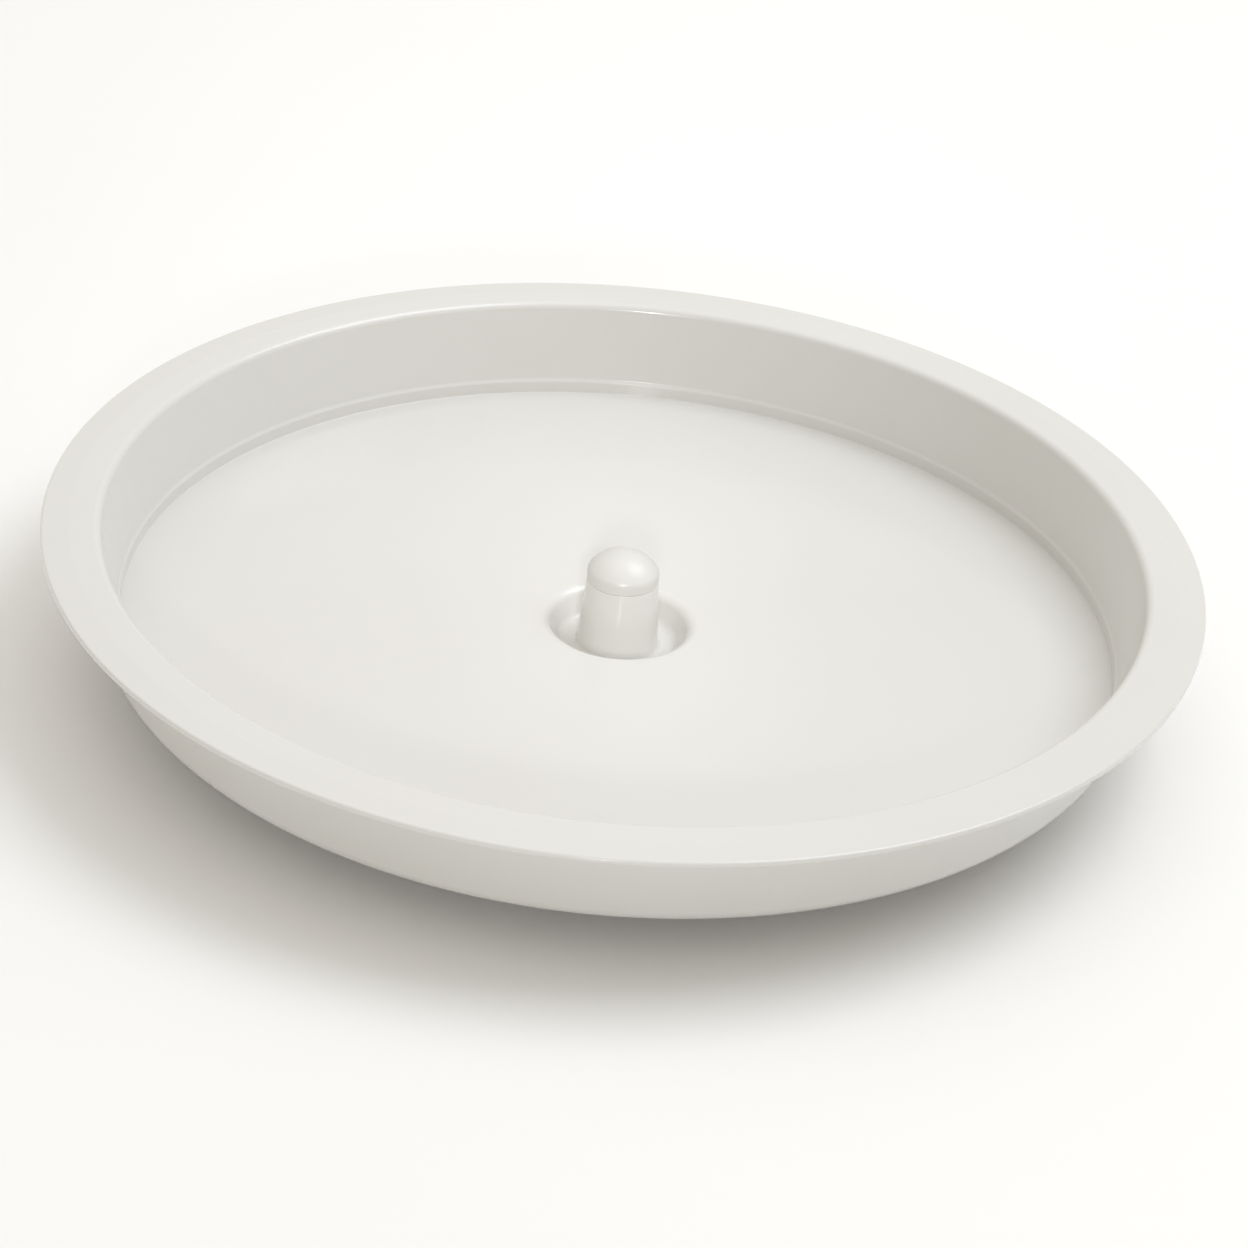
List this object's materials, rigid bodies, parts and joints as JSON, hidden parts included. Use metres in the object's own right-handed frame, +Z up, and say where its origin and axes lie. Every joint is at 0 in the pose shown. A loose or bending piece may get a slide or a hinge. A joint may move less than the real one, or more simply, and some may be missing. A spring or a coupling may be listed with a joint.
{
  "type": "lazy susan turntable",
  "caption": "Round flanged dish with a capped centre post in a recessed well, spinning on a caged ball race over a low base with rubber feet.",
  "frame": {"origin": "centre of the plane that the feet stand on, on the spin axis", "axes": "+Z up along the spin axis, from the feet towards the dish; +X through the first ball and the first foot"},
  "size_m": [0.2666, 0.2666, 0.036],
  "materials": {
    "tray_plastic": "warm white moulded plastic, semi-gloss",
    "cap_plastic": "white moulded plastic, gloss",
    "bush_acetal": "natural acetal, satin",
    "washer_steel": "zinc plated, satin",
    "screw_steel": "zinc plated, bright",
    "base_plastic": "warm white moulded plastic, fine texture",
    "cage_acetal": "natural acetal, satin",
    "ball_steel": "polished bearing steel",
    "foot_rubber": "grey rubber, matte"
  },
  "bodies": {
    "base": {"base": "base_plastic", "pivot_screw": "screw_steel", "retaining_washer": "washer_steel", "foot_1": "foot_rubber", "foot_2": "foot_rubber", "foot_3": "foot_rubber", "foot_4": "foot_rubber", "foot_5": "foot_rubber", "foot_6": "foot_rubber"},
    "tray": {"tray": "tray_plastic", "post_cap": "cap_plastic", "pivot_bush": "bush_acetal"},
    "ball_cage": {"ball_cage": "cage_acetal"},
    "ball_01": {"ball_01": "ball_steel"},
    "ball_02": {"ball_02": "ball_steel"},
    "ball_03": {"ball_03": "ball_steel"},
    "ball_04": {"ball_04": "ball_steel"},
    "ball_05": {"ball_05": "ball_steel"},
    "ball_06": {"ball_06": "ball_steel"},
    "ball_07": {"ball_07": "ball_steel"},
    "ball_08": {"ball_08": "ball_steel"},
    "ball_09": {"ball_09": "ball_steel"},
    "ball_10": {"ball_10": "ball_steel"},
    "ball_11": {"ball_11": "ball_steel"},
    "ball_12": {"ball_12": "ball_steel"}
  },
  "joints": [
    {"name": "tray_spin", "type": "hinge", "parent": "base", "child": "tray", "pos_m": [0, 0, 0.0129], "axis": [0, 0, 1], "continuous": true},
    {"name": "cage_orbit", "type": "hinge", "parent": "base", "child": "ball_cage", "pos_m": [0, 0, 0.0069], "axis": [0, 0, 1], "continuous": true},
    {"name": "ball_01_roll", "type": "hinge", "parent": "ball_cage", "child": "ball_01", "pos_m": [0.062, 0, 0.0069], "axis": [1, 0, 0], "continuous": true},
    {"name": "ball_02_roll", "type": "hinge", "parent": "ball_cage", "child": "ball_02", "pos_m": [0.05369, 0.031, 0.0069], "axis": [0.866, 0.5, 0], "continuous": true},
    {"name": "ball_03_roll", "type": "hinge", "parent": "ball_cage", "child": "ball_03", "pos_m": [0.031, 0.05369, 0.0069], "axis": [0.5, 0.866, 0], "continuous": true},
    {"name": "ball_04_roll", "type": "hinge", "parent": "ball_cage", "child": "ball_04", "pos_m": [0, 0.062, 0.0069], "axis": [0, 1, 0], "continuous": true},
    {"name": "ball_05_roll", "type": "hinge", "parent": "ball_cage", "child": "ball_05", "pos_m": [-0.031, 0.05369, 0.0069], "axis": [-0.5, 0.866, 0], "continuous": true},
    {"name": "ball_06_roll", "type": "hinge", "parent": "ball_cage", "child": "ball_06", "pos_m": [-0.05369, 0.031, 0.0069], "axis": [-0.866, 0.5, 0], "continuous": true},
    {"name": "ball_07_roll", "type": "hinge", "parent": "ball_cage", "child": "ball_07", "pos_m": [-0.062, 0, 0.0069], "axis": [-1, 0, 0], "continuous": true},
    {"name": "ball_08_roll", "type": "hinge", "parent": "ball_cage", "child": "ball_08", "pos_m": [-0.05369, -0.031, 0.0069], "axis": [-0.866, -0.5, 0], "continuous": true},
    {"name": "ball_09_roll", "type": "hinge", "parent": "ball_cage", "child": "ball_09", "pos_m": [-0.031, -0.05369, 0.0069], "axis": [-0.5, -0.866, 0], "continuous": true},
    {"name": "ball_10_roll", "type": "hinge", "parent": "ball_cage", "child": "ball_10", "pos_m": [0, -0.062, 0.0069], "axis": [0, -1, 0], "continuous": true},
    {"name": "ball_11_roll", "type": "hinge", "parent": "ball_cage", "child": "ball_11", "pos_m": [0.031, -0.05369, 0.0069], "axis": [0.5, -0.866, 0], "continuous": true},
    {"name": "ball_12_roll", "type": "hinge", "parent": "ball_cage", "child": "ball_12", "pos_m": [0.05369, -0.031, 0.0069], "axis": [0.866, -0.5, 0], "continuous": true}
  ],
  "couplings": [
    {"joint": "cage_orbit", "follows": "tray_spin", "ratio": 0.5},
    {"joint": "ball_01_roll", "follows": "tray_spin", "ratio": -9.7638},
    {"joint": "ball_02_roll", "follows": "tray_spin", "ratio": -9.7638},
    {"joint": "ball_03_roll", "follows": "tray_spin", "ratio": -9.7638},
    {"joint": "ball_04_roll", "follows": "tray_spin", "ratio": -9.7638},
    {"joint": "ball_05_roll", "follows": "tray_spin", "ratio": -9.7638},
    {"joint": "ball_06_roll", "follows": "tray_spin", "ratio": -9.7638},
    {"joint": "ball_07_roll", "follows": "tray_spin", "ratio": -9.7638},
    {"joint": "ball_08_roll", "follows": "tray_spin", "ratio": -9.7638},
    {"joint": "ball_09_roll", "follows": "tray_spin", "ratio": -9.7638},
    {"joint": "ball_10_roll", "follows": "tray_spin", "ratio": -9.7638},
    {"joint": "ball_11_roll", "follows": "tray_spin", "ratio": -9.7638},
    {"joint": "ball_12_roll", "follows": "tray_spin", "ratio": -9.7638}
  ]
}
